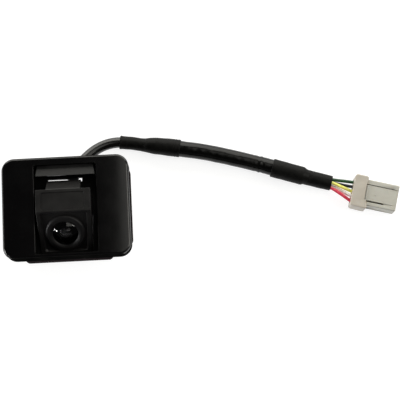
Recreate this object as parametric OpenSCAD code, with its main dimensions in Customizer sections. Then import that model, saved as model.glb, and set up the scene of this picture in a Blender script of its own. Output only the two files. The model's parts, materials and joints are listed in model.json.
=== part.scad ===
// Backup camera kit: a glossy bezel with a tilted camera pod in its recess, and a short
// lead that ends in a five-way connector. Millimetres. The kit lies on its back: +Z is out
// of the bezel's face, +Y is up the bezel, +X is towards the connector. The origin is under
// the middle of the bezel, on the surface that its rear feet stand on.

/* [Bezel] */
// Width of the bezel cover
cover_w = 57; // [56:0.5:60]
// Height of the bezel cover
cover_h = 45.5; // [45:0.5:48]
// Corner radius of the bezel cover
corner_r = 5.5; // [4:0.5:7]
// Wall thickness of the bezel cover
wall = 1.8; // [1.5:0.1:2]
// Height of the bezel's face above the surface
face_z = 25; // [24.5:0.5:26]
// How far the crowned face drops at its left and right edges
crown = 0.6; // [0.3:0.1:0.8]
// Width of the recess in the face
recess_w = 28; // [27.5:0.5:29]
// Upper edge of the recess, from the bezel's middle
recess_top = 19.2; // [18.5:0.1:19.5]

/* [Rear] */
// Height of the cover's rear edge above the surface
rear_z = 15.5; // [15:0.1:16]
// Thickness of the gasket that meets the vehicle's panel
gasket_t = 2; // [1.5:0.1:2.5]
// Distance between the two mounting bosses
boss_spacing = 42; // [41:0.5:43]
// Distance of the mounting bosses above the bezel's middle
boss_y = 14; // [13:0.5:14.5]
// Radius of a mounting boss's screw hole
boss_hole_r = 1.35; // [1.1:0.05:1.6]
// Width of a snap hook
hook_w = 7; // [5:0.5:7]

/* [Camera pod] */
// Angle between the optical axis and the bezel's normal
tilt = 35; // [34:1:36]
// Place of the pod's middle across the bezel
pod_x = -0.7; // [-1:0.1:0]
// Width of the pod's roof
pod_w = 24.4; // [24:0.1:24.6]
// Width of the pod's lower edge
chin_w = 23; // [22.4:0.1:23.4]
// Radius of the lens trim ring
trim_r = 8; // [7.6:0.1:8.2]
// Radius of the front lens
lens_r = 6.2; // [5.5:0.1:6.3]

/* [Lead and connector] */
// Diameter of the camera cable
cable_d = 5; // [4.5:0.1:5]
// Diameter of the sleeve over the cable
sleeve_d = 7.5; // [7:0.1:7.5]
// Diameter of a connector wire
wire_d = 1.5; // [1.2:0.1:1.5]
// Distance between neighbouring wires in the connector
pitch = 2.2; // [2.2:0.05:2.25]
// Length of the connector with its retainer
plug_l = 20.6; // [20:0.2:22]
// Angle of the connector from +X
plug_angle = -15; // [-16:1:-14]

/* [Hidden] */
$fn = 64;

black = [0.05, 0.05, 0.055];
ivory = [0.86, 0.84, 0.78];
steel = [0.6, 0.6, 0.62];

// Bezel levels and inner sizes
face_t = 1.8;
inner_w = cover_w - 2 * wall;
inner_h = cover_h - 2 * wall;
inner_r = corner_r - wall;
crown_r = pow(cover_w / 2, 2) / (2 * crown);
rim_t = 1.4;
gap = 0.15;
plate_t = 1.8;
plate_z = rear_z + plate_t;

// Bracket screws, and the screws of the camera pod's ears
bracket_screws_at = [for (x = [-23.6, 23.6], y = [-8.5, 4.5]) [x, y]];
ear_x = 17.8;
ear_y = 3;
ear_t = 2.2;
leg_x = boss_spacing / 2;
leg_y = -16;

// Shelf behind the pod's neck, as Y and Z of its front edge and its back edge
shelf_front = [14.3, 24.2];
shelf_back = [20.7, 22.6];
shelf_t = 1.2;
shelf_w = 26.8;

// Snap hooks
hook_x = 19.5;
hook_y = -7;
hook_t = 1.6;
hook_pin_r = 1.2;
hook_pin_z = rear_z - 0.3 - hook_pin_r;
hook_tip_z = 2;
barb = 1.5;
barb_z = rear_z - gasket_t - 2.1;
cheek_t = 1.4;

// Optical frame: its origin is the middle of the lens on the pod's rim plane
lens_y = -12.2;
lens_z = 23.07;
chin = -9.9;
ridge = 11.2;
pod_wall = 1.6;
face_sink = 1;
front_back = -11.3;
seal_t = 0.8;
rear_front = front_back - seal_t;
rear_back = -20;
rear_wall = 1.5;
rear_w = 20.4;
rear_y = [-9.4, 10.4];
split_top = 12;
roof_back = [7.2, 29];
neck_end = [12, 21.5];
neck_w = 15.2;
pod_length = 40;

// Screws that join the pod's two cases, in the optical frame
case_screws_at = [for (x = [-7.6, 7.6], y = [-6.9, 8.1]) [x, y]];
case_boss_r = 2.2;

// Circuit boards, in the optical frame
board_w = 16.6;
board_y = [-7.5, 8.5];
board_t = 1;
board_1_z = -14;
board_2_z = -17;

// Cable outlet on the back of the pod
cable_x = 1.5;
cable_z = 6.5;
outlet_r = 4.6;
outlet_y = 7;

// Route of the camera cable, from the pod to the splice
cable_route = [
    [1.5, 0.5, 6.5], [1.5, 7, 6.5], [1.5, 13, 6.5], [2.2, 16.5, 6.2], [3.8, 20.4, 5.6],
    [6.4, 24.2, 4.8], [9.8, 27.6, 4.1], [13.8, 30.4, 3.5], [18.4, 32.2, 3.2],
    [23.6, 32.8, 3.1], [30, 32, 3.1], [36, 30.8, 3.2], [42, 29.8, 3.8], [48, 28.9, 4],
    [54, 27.8, 3.9], [62, 26.3, 3.8], [70, 24.3, 3.8], [78, 22.1, 3.8], [86, 19.7, 3.9],
    [94, 17, 4.2], [102, 14.3, 4.3],
];
shrink_1_route = [
    [24, 32.8, 3.1], [30, 32, 3.1], [35.5, 30.9, 3.1], [39, 30.3, 4.1], [45.5, 29.3, 4.1],
    [52, 28.2, 4.1],
];
shrink_1_r = [3.05, 3.05, 3.05, 4.1, 4.1, 4.1];
sleeve_route = [
    [46, 29.3, 3.8], [54, 27.8, 3.8], [62, 26.3, 3.8], [70, 24.3, 3.8], [78, 22.1, 3.8],
    [86, 19.7, 3.8], [92, 17.8, 3.9], [98, 15.8, 4.2],
];
shrink_2_route = [
    [94.3, 16.9, 4.3], [101.5, 14.5, 4.3], [108.7, 12.1, 4.3], [110.3, 11.6, 3.8],
    [116, 9.8, 3.8], [121.4, 8.2, 3.8],
];
shrink_2_r = [4.3, 4.3, 4.3, 3.75, 3.75, 3.75];

// Routes of the five wires, from the splice into the connector
green_route = [
    [104.1, 15.6, 4.1], [110.6, 13.4, 3.8], [116.6, 11.6, 3.7], [122.1, 9.9, 3.7],
    [127, 9, 3.7], [131.9, 8.1, 3.6], [134.5, 7.4, 3.6],
];
black_route = [
    [103.7, 14.4, 3.1], [110.2, 12.2, 2.8], [116.2, 10.4, 2.7], [121.7, 8.7, 2.7],
    [126.8, 7.2, 3.1], [131.4, 6, 3.6], [134, 5.3, 3.6],
];
yellow_route = [
    [103.5, 13.9, 5.2], [110, 11.7, 4.9], [116, 9.9, 4.8], [121.5, 8.2, 4.8],
    [126.3, 6, 4.3], [130.8, 3.9, 3.6], [133.4, 3.2, 3.6],
];
white_route = [
    [103.1, 12.7, 3.5], [109.6, 10.5, 3.2], [115.6, 8.7, 3.1], [121.1, 7, 3.1],
    [125.9, 4.5, 3.3], [130.2, 1.8, 3.6], [132.8, 1.1, 3.6],
];
red_route = [
    [102.9, 11.7, 4.8], [109.3, 9.5, 4.5], [115.3, 7.7, 4.4], [120.8, 6, 4.4],
    [125.4, 2.9, 4.1], [129.7, -0.4, 3.6], [132.3, -1.1, 3.6],
];

// Connector, in its own frame: x runs from the wires to the mating end
plug_at = [130.8, 3.9, 0];
collar_l = 5.8;
collar_w = 14.6;
collar_h = 9.4;
collar_skirt = 7.2;
tail_x = 2;
tail_w = 11.2;
tail_z = [1, 8.2];
body_x = 5.1;
body_w = 12.2;
body_z = [0.5, 8.8];
fit = 0.3;
wire_z = 3.6;
ways = 5;
cavity = [1.8, 1.9];
pin_hole = 1;
latch_w = 7;
latch_x = [5.7, 17.5];
latch_z = [7, 8.6];
latch_root_r = (latch_z[1] - latch_z[0]) / 2;
channel_floor = 5.6;

// --- helpers -----------------------------------------------------------------------

// A flat plate with rounded corners, its lower face at z = 0
module plate(w, h, t, r) {
    linear_extrude(t) {
        square([w - 2 * r, h], center = true);
        square([w, h - 2 * r], center = true);
        for (x = [-1, 1], y = [-1, 1])
            translate([x * (w / 2 - r), y * (h / 2 - r)]) circle(r);
    }
}

// A box given by two opposite corners
module block(low, high) {
    translate(low) cube(high - low);
}

// A profile of [Y, Z] points, drawn out along X about the pod's middle
module across(w, points) {
    translate([pod_x, 0, 0]) rotate([90, 0, 90])
        linear_extrude(w, center = true) polygon(points);
}

// Puts its children in the optical frame
module optic() {
    translate([pod_x, lens_y, lens_z]) rotate([tilt, 0, 0]) children();
}

// [Y, Z] of a point of the optical frame
function at(y, z) = [
    lens_y + y * cos(tilt) - z * sin(tilt),
    lens_z + y * sin(tilt) + z * cos(tilt),
];

// A disc or ring about the optical axis, from z = low to z = high
module ring(r_out, r_in, low, high) {
    difference() {
        translate([0, 0, low]) cylinder(r = r_out, h = high - low);
        if (r_in > 0) translate([0, 0, low - 1]) cylinder(r = r_in, h = high - low + 2);
    }
}

// A pan-head screw along +Z with a cross drive, its head's underside at z = 0
module screw(head_r, head_h, shank_r, shank_l) {
    difference() {
        translate([0, 0, -head_h]) cylinder(r = head_r, h = head_h);
        for (a = [0, 90])
            translate([0, 0, -head_h]) rotate([0, 0, a])
                cube([1.3 * head_r, 0.4, head_h], center = true);
    }
    cylinder(r = shank_r, h = shank_l);
}

// The direction of a route at its point i
function heading(route, i) =
    let (a = route[max(i - 1, 0)], b = route[min(i + 1, len(route) - 1)])
    (b - a) / norm(b - a);

// The points of a round section of a tube
function section(centre, along, r, sides) =
    let (s = cross([0, 0, 1], along), side = s / norm(s), up = cross(along, side))
    [for (k = [0:sides - 1])
        centre + r * (cos(360 * k / sides) * side + sin(360 * k / sides) * up)];

// A tube along a route, with a radius for each of the route's points
module swept(route, radii, sides) {
    last = (len(route) - 1) * sides;
    skin = [for (i = [0:len(route) - 2], k = [0:sides - 1])
        [i * sides + k, (i + 1) * sides + k,
         (i + 1) * sides + (k + 1) % sides, i * sides + (k + 1) % sides]];
    start = [for (k = [0:sides - 1]) k];
    end = [for (k = [sides - 1:-1:0]) last + k];
    polyhedron(
        [for (i = [0:len(route) - 1])
            each section(route[i], heading(route, i), radii[i], sides)],
        concat(skin, [start, end]));
}

module wire(route) swept(route, [for (p = route) wire_d / 2], 8);

// Puts its children in the connector's frame
module plug() {
    translate(plug_at) rotate([0, 0, plug_angle]) children();
}

// Places its children at the wire cavities of the connector
module each_way() {
    for (i = [0:ways - 1])
        translate([0, ((ways - 1) / 2 - i) * pitch, wire_z]) children();
}

// --- bezel -------------------------------------------------------------------------

module bezel_cover() {
    color(black) difference() {
        intersection() {
            translate([0, 0, rear_z]) plate(cover_w, cover_h, face_z - rear_z, corner_r);
            translate([0, 0, face_z - crown_r]) rotate([90, 0, 0])
                cylinder(r = crown_r, h = cover_h + 2, center = true, $fn = 720);
        }
        difference() {
            translate([0, 0, rear_z - 1])
                plate(inner_w, inner_h, face_z - face_t - rear_z + 1, inner_r);
            for (s = [-1, 1])
                translate([s * (recess_w + rim_t) / 2, 0, face_z])
                    cube([rim_t, cover_h, 2 * (face_z - plate_z)], center = true);
            for (p = bracket_screws_at)
                translate([p.x, p.y, plate_z]) cylinder(r = 2, h = face_z - plate_z);
        }
        recess_h = inner_h / 2 + recess_top;
        translate([0, recess_top - recess_h / 2, plate_z])
            plate(recess_w, recess_h, face_z, 1.2);
        for (p = bracket_screws_at)
            translate([p.x, p.y, rear_z]) cylinder(r = 0.95, h = face_z - face_t - rear_z);
    }
}

// The matt frame inside the cover: it carries the pod, the shelf, the feet and the bosses
module camera_bracket() {
    color([0.08, 0.08, 0.085]) difference() {
        union() {
            difference() {
                translate([0, 0, rear_z])
                    plate(inner_w - 2 * gap, inner_h - 2 * gap, plate_t, inner_r - gap);
                // Window for the pod's two cases, and the slit behind its neck
                intersection() {
                    block([-cover_w, -cover_h, rear_z - 1], [cover_w, 8, plate_z + 1]);
                    optic() union() {
                        pod_outline(-gap, front_back - gap, 5);
                        rear_section(-2 * gap, 2 * rear_back, front_back);
                    }
                }
                block([pod_x - neck_w / 2 - 0.2, 8, rear_z - 1], [5.5, 13.8, plate_z + 1]);
                block([5.4, 12.4, rear_z - 1], [7, 14.2, plate_z + 1]);
            }
            shelf();
            for (s = [-1, 1]) {
                translate([s * ear_x, ear_y, rear_z]) cylinder(r = 2.1, h = 6);
                translate([s * leg_x, boss_y, 0]) cylinder(r = 3.2, h = plate_z);
                translate([s * leg_x, leg_y, 0]) cylinder(r1 = 2, r2 = 2.6, h = 3);
                translate([s * leg_x, leg_y, 3]) cylinder(r = 2.6, h = rear_z - 2);
                for (side = [-1, 1])
                    translate([s * hook_x,
                               hook_y + side * (hook_w / 2 + 0.3 + cheek_t / 2),
                               rear_z - 1.5])
                        cube([3.4, cheek_t, 4], center = true);
            }
        }
        for (s = [-1, 1]) {
            translate([s * ear_x, ear_y, rear_z - 1]) cylinder(r = 0.95, h = 6);
            translate([s * leg_x, boss_y, -1]) cylinder(r = boss_hole_r, h = 12);
        }
        for (p = bracket_screws_at)
            translate([p.x, p.y, rear_z - 1]) cylinder(r = 1.1, h = plate_t + 2);
    }
}

// The shelf behind the neck, which stands on the bracket's plate and narrows to its back
module shelf() {
    intersection() {
        rotate([90, 0, 90]) linear_extrude(shelf_w, center = true)
            polygon([
                shelf_front - [0, shelf_t], [shelf_back.x - 2.4, shelf_back.y - 1.6],
                [shelf_back.x - 2.4, plate_z - 0.4], [shelf_back.x, plate_z - 0.4],
                shelf_back, shelf_front,
            ]);
        linear_extrude(face_z) polygon([
            [-shelf_w / 2, shelf_front.x - 1], [shelf_w / 2, shelf_front.x - 1],
            [shelf_w / 2 - 1.2, shelf_back.x + 1], [-shelf_w / 2 + 1.2, shelf_back.x + 1],
        ]);
    }
}

module bracket_screws() {
    color(steel)
        for (p = bracket_screws_at)
            translate([p.x, p.y, rear_z]) screw(1.8, 1.2, 0.9, 6);
}

// The soft ring between the bezel and the panel, with lobes that stand past the cover
module panel_gasket() {
    color([0.16, 0.15, 0.17]) translate([0, 0, rear_z - gasket_t]) difference() {
        union() {
            plate(cover_w - 0.6, cover_h - 0.6, gasket_t, corner_r - 0.3);
            plate(cover_w + 0.8, 34.4, gasket_t, 2);
            plate(39.5, cover_h + 1.6, gasket_t, 2);
        }
        translate([0, 0, -1]) plate(51.4, 39.6, gasket_t + 2, 3);
    }
}

// A snap hook, with its barb towards side * X
module snap_hook(side) {
    color([0.1, 0.1, 0.11]) translate([side * hook_x, hook_y, 0]) {
        translate([0, 0, hook_pin_z]) rotate([90, 0, 0])
            cylinder(r = hook_pin_r, h = hook_w, center = true);
        rotate([90, 0, 0]) linear_extrude(hook_w, center = true) polygon([
            [-hook_t / 2, hook_tip_z], [hook_t / 2, hook_tip_z],
            [(side > 0 ? barb : 0) + hook_t / 2, barb_z - 1],
            [(side > 0 ? barb : 0) + hook_t / 2, barb_z], [hook_t / 2, barb_z],
            [hook_t / 2, hook_pin_z], [-hook_t / 2, hook_pin_z],
            [-hook_t / 2, barb_z], [-(side < 0 ? barb : 0) - hook_t / 2, barb_z],
            [-(side < 0 ? barb : 0) - hook_t / 2, barb_z - 1],
        ]);
    }
}

module snap_hook_left() snap_hook(-1);

module snap_hook_right() snap_hook(1);

// --- camera pod --------------------------------------------------------------------

// The pod's outline seen along the optical axis, inset by d, from z = low to z = high
module pod_outline(d, low, high) {
    c = chin_w / 2 - d;
    w = pod_w / 2 - d;
    r = 2.2;
    translate([0, 0, low]) linear_extrude(high - low) polygon([
        [-c + r, chin + d], [c - r, chin + d], [c - 0.3 * r, chin + d + 0.3 * r],
        [c, chin + d + r], [w, ridge], [w, 22 - d], [-w, 22 - d], [-w, ridge],
        [-c, chin + d + r], [-c + 0.3 * r, chin + d + 0.3 * r],
    ]);
}

module pod_front_case() {
    body = [
        at(chin, 0), at(chin, front_back), at(split_top, front_back), roof_back, at(ridge, 0),
    ];
    cavity_profile = [
        at(chin + pod_wall, -face_sink - pod_wall), at(chin + pod_wall, front_back - 1),
        at(split_top - pod_wall, front_back - 1), roof_back - [1.8, 1.7],
        at(ridge + 0.6, -face_sink - pod_wall),
    ];
    down = (neck_end - roof_back) / norm(neck_end - roof_back);
    inward = pod_wall * [down.y, -down.x];
    color(black) difference() {
        union() {
            difference() {
                intersection() {
                    across(pod_length, body);
                    optic() pod_outline(0, -30, 5);
                }
                intersection() {
                    across(pod_length, cavity_profile);
                    optic() pod_outline(pod_wall, -30, 5);
                }
            }
            across(neck_w, [roof_back + inward, neck_end + inward, neck_end, roof_back]);
            intersection() {
                // Screw bosses, each with a web out to the side wall
                optic() for (p = case_screws_at) translate([p.x, p.y, front_back]) {
                    cylinder(r = case_boss_r, h = 4.5);
                    translate([sign(p.x) * 2.5, 0, 2.25]) cube([5, 1.6, 4.5], center = true);
                }
                across(pod_length, body);
                optic() pod_outline(0, -30, 5);
            }
        }
        // The sunk lens face inside its rim, and the lens hole
        optic() {
            intersection() {
                pod_outline(1.3, -face_sink, 5);
                translate([0, -1, 0]) cube([pod_length, 21.6, 10], center = true);
            }
            translate([0, 0, -5]) cylinder(r = 7.4, h = 6);
            for (p = case_screws_at)
                translate([p.x, p.y, front_back - 1]) cylinder(r = 0.95, h = 5);
        }
        // The sunk roof panel
        roof_from = at(ridge, 0);
        roof_tilt = atan2(roof_back.y - roof_from.y, roof_back.x - roof_from.x);
        translate([pod_x, roof_from.x, roof_from.y]) rotate([roof_tilt, 0, 0])
            block([-pod_w / 2 + 2.6, 0.6, -0.5], [pod_w / 2 - 3, 8.9, 5]);
    }
}

// The rounded section of the rear case, inset by d, from z = low to z = high
module rear_section(d, low, high) {
    translate([0, (rear_y[0] + rear_y[1]) / 2, low])
        plate(rear_w - 2 * d, rear_y[1] - rear_y[0] - 2 * d, high - low, 2.2 - d / 2);
}

module case_seal() {
    color([0.35, 0.12, 0.08]) optic() difference() {
        union() {
            difference() {
                rear_section(0.3, rear_front, front_back);
                rear_section(rear_wall, rear_front - 1, front_back + 1);
            }
            for (p = case_screws_at)
                translate([p.x, p.y, rear_front]) cylinder(r = case_boss_r - 0.1, h = seal_t);
        }
        for (p = case_screws_at)
            translate([p.x, p.y, rear_front - 1]) cylinder(r = 1.1, h = seal_t + 2);
    }
}

// The back of the pod: its outlet for the cable, and the ears that the bracket carries
module pod_rear_case() {
    color([0.09, 0.09, 0.095]) difference() {
        union() {
            optic() rear_section(0, rear_back, rear_front);
            translate([cable_x, -6.5, cable_z]) rotate([-90, 0, 0])
                cylinder(r = outlet_r, h = outlet_y + 6.5);
            for (s = [-1, 1]) {
                translate([s * ear_x, ear_y, rear_z - ear_t]) cylinder(r = 2.4, h = ear_t);
                block([s > 0 ? 8 : -ear_x, ear_y - 2.4, rear_z - ear_t],
                      [s > 0 ? ear_x : -9, ear_y + 2.4, rear_z]);
            }
        }
        optic() {
            difference() {
                rear_section(rear_wall, rear_back + rear_wall, rear_front + 1);
                for (p = case_screws_at)
                    translate([p.x, p.y, rear_back])
                        cylinder(r = case_boss_r, h = rear_front - rear_back);
            }
            for (p = case_screws_at) {
                translate([p.x, p.y, rear_back - 1]) cylinder(r = 1.1, h = 12);
                translate([p.x, p.y, rear_back - 1]) cylinder(r = 1.7, h = 2.4);
            }
        }
        translate([cable_x, -3, cable_z]) rotate([-90, 0, 0])
            cylinder(r = cable_d / 2 + 0.1, h = outlet_y + 4);
        translate([cable_x, outlet_y - 3.5, cable_z]) rotate([-90, 0, 0])
            cylinder(r = 3.6, h = 4);
        for (s = [-1, 1])
            translate([s * ear_x, ear_y, rear_z - 4]) cylinder(r = 1.1, h = 5);
    }
}

module case_screws() {
    color(steel) optic()
        for (p = case_screws_at)
            translate([p.x, p.y, rear_back + 1.4]) screw(1.5, 1.2, 0.9, 11);
}

module module_screws() {
    color(steel)
        for (s = [-1, 1])
            translate([s * ear_x, ear_y, rear_z - ear_t]) screw(1.9, 1.2, 0.9, 6);
}

// --- lens --------------------------------------------------------------------------

module lens_trim_ring() {
    color([0.07, 0.07, 0.075]) optic() difference() {
        ring(trim_r, lens_r + 0.3, -face_sink, 0);
        translate([0, 0, -0.5]) cylinder(r1 = lens_r + 0.3, r2 = lens_r + 1, h = 0.7);
    }
}

module barrel_seal() {
    color([0.12, 0.12, 0.12]) optic()
        translate([0, 0, -3.5]) rotate_extrude() translate([6.65, 0]) circle(0.45, $fn = 24);
}

module lens_barrel() {
    color([0.1, 0.1, 0.11]) optic() difference() {
        union() {
            ring(7.2, 0, -3, -1.1);
            ring(6.1, 0, -4, -3);
            ring(6, 0, -11, -4);
        }
        ring(lens_r + 0.05, 0, -2.9, 0);
        ring(4.2, 0, -7.1, 0);
        ring(3.2, 0, -12, 0);
    }
}

module front_lens() {
    dome_r = 9.5;
    dome_z = -1.1 - sqrt(pow(dome_r, 2) - pow(lens_r, 2));
    color([0.2, 0.25, 0.3]) optic() difference() {
        intersection() {
            translate([0, 0, dome_z]) sphere(dome_r, $fn = 96);
            ring(lens_r, 0, -2.8, 3);
        }
        translate([0, 0, -4.6]) sphere(4.2);
    }
}

module second_lens() {
    color([0.25, 0.3, 0.32]) optic() difference() {
        ring(4.1, 0, -5.4, -4.2);
        translate([0, 0, -9.4]) sphere(4.8);
    }
}

module lens_spacer() {
    color(black) optic() ring(4.1, 3.2, -6.7, -5.4);
}

module aperture_stop() {
    color(black) optic() ring(4.1, 1, -7.05, -6.7);
}

module rear_lens() {
    color([0.25, 0.3, 0.32]) optic() intersection() {
        ring(3.1, 0, -9.8, -7.3);
        translate([0, 0, -12.6]) sphere(5.3);
    }
}

// The threaded seat of the barrel, with the shelf of the filter
module lens_holder() {
    color([0.13, 0.13, 0.14]) optic() difference() {
        ring(6.9, 0, board_1_z + board_t, -7.5);
        ring(6.05, 0, -11.9, -7);
        ring(3, 0, -13, -11);
        ring(5, 0, board_1_z, -12.2);
    }
}

module ir_filter() {
    color([0.4, 0.65, 0.6]) optic() block([-3.3, -3.3, -11.9], [3.3, 3.3, -11.5]);
}

// --- electronics -------------------------------------------------------------------

// A circuit board with its corners cut back round the case bosses
module board(z) {
    optic() difference() {
        block([-board_w / 2, board_y[0], z], [board_w / 2, board_y[1], z + board_t]);
        for (p = case_screws_at)
            translate([p.x, p.y, z - 1]) cylinder(r = case_boss_r + 0.4, h = board_t + 2);
    }
}

module sensor_board() color([0.05, 0.3, 0.15]) board(board_1_z);

module processor_board() color([0.05, 0.3, 0.15]) board(board_2_z);

module image_sensor() {
    z = board_1_z + board_t;
    color([0.15, 0.15, 0.2]) optic() block([-3.1, -2.8, z], [3.1, 2.8, z + 0.7]);
}

module board_capacitors() {
    color([0.7, 0.55, 0.4]) optic() {
        for (x = [-3.6, -1.2, 1.2, 3.6])
            block([x - 0.4, 4.6, board_1_z - 0.7], [x + 0.4, 6.2, board_1_z]);
        for (s = [-1, 1])
            translate([s * 6.6, 0.5, board_1_z - 1.4]) cylinder(r = 1.1, h = 1.4);
    }
}

// The stacked connector between the two boards
module board_connector() {
    color([0.85, 0.82, 0.72]) optic()
        block([-4, -6.4, board_2_z + board_t], [4, -4, board_1_z]);
}

module processor_chip() {
    z = board_2_z + board_t;
    color([0.08, 0.08, 0.08]) optic() block([-3, -2.6, z], [3, 3.4, z + 0.9]);
}

module shield_can() {
    color([0.75, 0.75, 0.77]) optic() difference() {
        block([-5.4, 1.2, board_2_z - 1.2], [3, 7, board_2_z]);
        block([-5.1, 1.5, board_2_z - 0.9], [2.7, 6.7, board_2_z + 1]);
    }
}

module cable_socket() {
    color([0.88, 0.86, 0.8]) optic() difference() {
        block([-1, -5.2, board_2_z - 1.2], [5, -1.6, board_2_z]);
        block([-0.6, -6, board_2_z - 0.9], [4.6, -2.6, board_2_z - 0.3]);
    }
}

module cable_grommet() {
    color([0.09, 0.09, 0.09]) translate([cable_x, outlet_y, cable_z]) rotate([-90, 0, 0])
        rotate_extrude() polygon([
            [cable_d / 2 + 0.05, -3.4], [3.55, -3.4], [3.55, 0], [4.4, 0], [4.4, 1.2],
            [3.7, 1.2], [3.1, 5.5], [cable_d / 2 + 0.05, 5.5],
        ]);
}

// --- lead --------------------------------------------------------------------------

module camera_cable() {
    color(black) swept(cable_route, [for (p = cable_route) cable_d / 2], 12);
}

module heat_shrink_camera_end() color([0.1, 0.1, 0.1]) swept(shrink_1_route, shrink_1_r, 12);

module cable_sleeve() {
    color(black) swept(sleeve_route, [for (p = sleeve_route) sleeve_d / 2], 12);
}

module heat_shrink_connector_end() color([0.1, 0.1, 0.1]) swept(shrink_2_route, shrink_2_r, 12);

module wire_green() color([0.05, 0.4, 0.15]) wire(green_route);

module wire_black() color([0.05, 0.05, 0.12]) wire(black_route);

module wire_yellow() color([0.85, 0.8, 0.15]) wire(yellow_route);

module wire_white() color([0.95, 0.93, 0.85]) wire(white_route);

module wire_red() color([0.75, 0.08, 0.12]) wire(red_route);

// --- connector ---------------------------------------------------------------------

module connector_housing() {
    color(ivory) plug() difference() {
        union() {
            block([tail_x, -tail_w / 2, tail_z[0]], [body_x + 1, tail_w / 2, tail_z[1]]);
            block([body_x, -body_w / 2, body_z[0]], [plug_l, body_w / 2, body_z[1]]);
        }
        // The channel that the latch moves in, open at the collar's end
        block([tail_x - 1, -latch_w / 2 - 0.4, channel_floor],
              [latch_x[1] + latch_root_r + fit, latch_w / 2 + 0.4, body_z[1] + 1]);
        // The wider slot along the arm's lower side, and the seat of its tab
        block([tail_x - 1, -latch_w / 2 - 0.8, channel_floor], [14.8, 0, body_z[1] + 1]);
        block([latch_x[1], -latch_w / 2 - 0.2, body_z[1] - 0.8],
              [plug_l + 1, latch_w / 2 + 0.2, body_z[1] + 1]);
        // Guide grooves along both lower edges
        for (s = [-1, 1])
            translate([(body_x + plug_l) / 2 + 1, s * body_w / 2, 2.2])
                cube([plug_l - body_x - 1, 1, 0.9], center = true);
        each_way() {
            translate([0, -cavity[0] / 2, -cavity[1] / 2])
                cube([plug_l - 1, cavity[0], cavity[1]]);
            translate([plug_l, 0, 0]) cube([4, pin_hole, pin_hole], center = true);
        }
    }
}

// The latch arm: it turns about its round root when its free end is pressed; a thin tab
// covers the root
module connector_latch() {
    color(ivory) plug() {
        block([latch_x[0], -latch_w / 2, latch_z[0]], [latch_x[1], latch_w / 2, latch_z[1]]);
        translate([latch_x[1], 0, latch_z[0] + latch_root_r]) rotate([90, 0, 0])
            cylinder(r = latch_root_r, h = latch_w, center = true);
        block([latch_x[1], -latch_w / 2, latch_z[1] - 0.45],
              [plug_l - 0.3, latch_w / 2, latch_z[1]]);
        translate([latch_x[0] + 0.5, 0, latch_z[1]]) rotate([90, 0, 0])
            cylinder(r = 0.45, h = latch_w - 1, center = true);
    }
}

// The collar that slides on over the housing's tail and locks the terminals. Its lid stops
// short of the latch, and a skirt runs on along the housing's lower side
module terminal_retainer() {
    color([0.88, 0.84, 0.79]) plug() difference() {
        linear_extrude(collar_h) polygon([
            [0, -collar_w / 2], [collar_skirt, -collar_w / 2], [collar_l + 0.3, -4],
            [collar_l, 0], [collar_l, collar_w / 2], [0, collar_w / 2],
        ]);
        block([1.2, -tail_w / 2 - fit, tail_z[0] - fit],
              [body_x, tail_w / 2 + fit, tail_z[1] + fit]);
        block([body_x - fit, -body_w / 2 - 0.2, -1],
              [collar_skirt + 1, body_w / 2 + 0.2, body_z[1] + 0.2]);
        block([latch_x[0] - fit, -latch_w / 2 - 0.2, tail_z[1]],
              [collar_skirt + 1, latch_w / 2 + 0.2, collar_h + 1]);
        block([-1, -5.5, 2], [2, 5.5, 5.6]);
    }
}

// Five box terminals, each with a socket for a pin of the mating part
module terminals() {
    color([0.8, 0.65, 0.3]) plug() each_way() difference() {
        union() {
            block([2.75, -0.6, -0.6], [9, 0.6, 0.6]);
            block([9, -0.8, -0.85], [plug_l - 1.3, 0.8, 0.85]);
        }
        block([12, -0.45, -0.45], [plug_l, 0.45, 0.45]);
    }
}

bezel_cover();
camera_bracket();
bracket_screws();
panel_gasket();
snap_hook_left();
snap_hook_right();
pod_front_case();
case_seal();
pod_rear_case();
case_screws();
module_screws();
lens_trim_ring();
barrel_seal();
lens_barrel();
front_lens();
second_lens();
lens_spacer();
aperture_stop();
rear_lens();
lens_holder();
ir_filter();
image_sensor();
sensor_board();
board_capacitors();
board_connector();
processor_board();
processor_chip();
shield_can();
cable_socket();
cable_grommet();
camera_cable();
heat_shrink_camera_end();
cable_sleeve();
heat_shrink_connector_end();
wire_green();
wire_black();
wire_yellow();
wire_white();
wire_red();
connector_housing();
connector_latch();
terminal_retainer();
terminals();
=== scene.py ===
"""Backup camera kit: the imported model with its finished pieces, on a pale floor.

Shapes are written in millimetres, in the part's own frame, and scaled by MM as they are made.
"""

import json
import math

import bmesh
import bpy
from mathutils import Matrix, Vector, noise


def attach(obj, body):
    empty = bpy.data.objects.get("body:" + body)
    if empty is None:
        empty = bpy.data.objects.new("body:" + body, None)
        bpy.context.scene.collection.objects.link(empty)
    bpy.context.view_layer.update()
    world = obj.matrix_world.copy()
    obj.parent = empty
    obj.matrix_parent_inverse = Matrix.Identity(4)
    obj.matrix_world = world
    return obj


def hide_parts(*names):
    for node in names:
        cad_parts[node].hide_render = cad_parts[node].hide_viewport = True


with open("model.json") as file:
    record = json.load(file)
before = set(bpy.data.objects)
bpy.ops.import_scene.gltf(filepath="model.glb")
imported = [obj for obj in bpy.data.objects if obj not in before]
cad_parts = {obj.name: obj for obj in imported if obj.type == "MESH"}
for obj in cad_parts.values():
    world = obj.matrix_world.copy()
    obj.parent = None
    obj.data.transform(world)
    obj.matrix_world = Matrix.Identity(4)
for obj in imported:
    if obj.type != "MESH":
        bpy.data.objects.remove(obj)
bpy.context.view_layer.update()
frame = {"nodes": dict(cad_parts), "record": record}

MM = 0.001
BODY_OF = {
    node: body for body, nodes in frame["record"]["behaviour"]["bodies"].items() for node in nodes
}
SLOT_OF = {row["node"]: row["material_slot"] for row in frame["record"]["subparts"]}

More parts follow.
